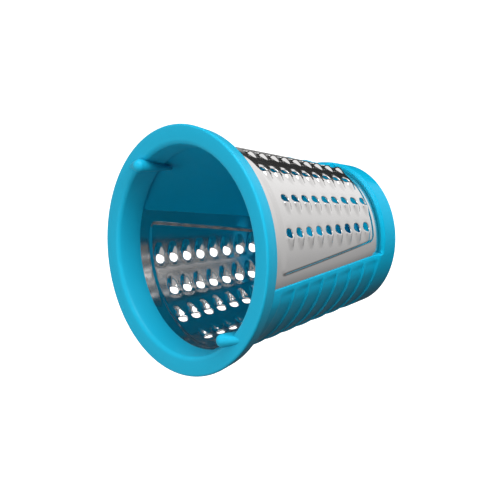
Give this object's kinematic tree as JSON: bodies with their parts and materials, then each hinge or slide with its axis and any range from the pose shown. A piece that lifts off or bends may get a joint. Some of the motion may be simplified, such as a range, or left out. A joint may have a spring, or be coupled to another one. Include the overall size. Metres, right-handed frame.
{
  "type": "rotary grater drum",
  "caption": "Tapered grating drum for a hand-turned rotary cheese grater: open flanged front with drive lugs, ribbed plastic walls and stamped steel grater sheets.",
  "frame": {"origin": "centre of the drum's rear (small) end face, on the drum's axis", "axes": "+Z along the drum's axis from the closed small end to the open flanged end; +X is the azimuth zero that the window and wall angles are counted from, +Y at azimuth 90 degrees"},
  "size_m": [0.1014, 0.1014, 0.095],
  "materials": {
    "ring_plastic": "moulded turquoise plastic, satin gloss",
    "frame_plastic": "moulded turquoise plastic, satin gloss",
    "grater_steel": "bright rolled stainless steel, polished",
    "hub_plastic": "moulded turquoise plastic, satin"
  },
  "bodies": {
    "root": {"front_ring": "ring_plastic", "drum_frame": "frame_plastic", "grater_sheet_a": "grater_steel", "grater_sheet_b": "grater_steel", "end_plate": "frame_plastic", "drive_hub": "hub_plastic"}
  },
  "joints": []
}
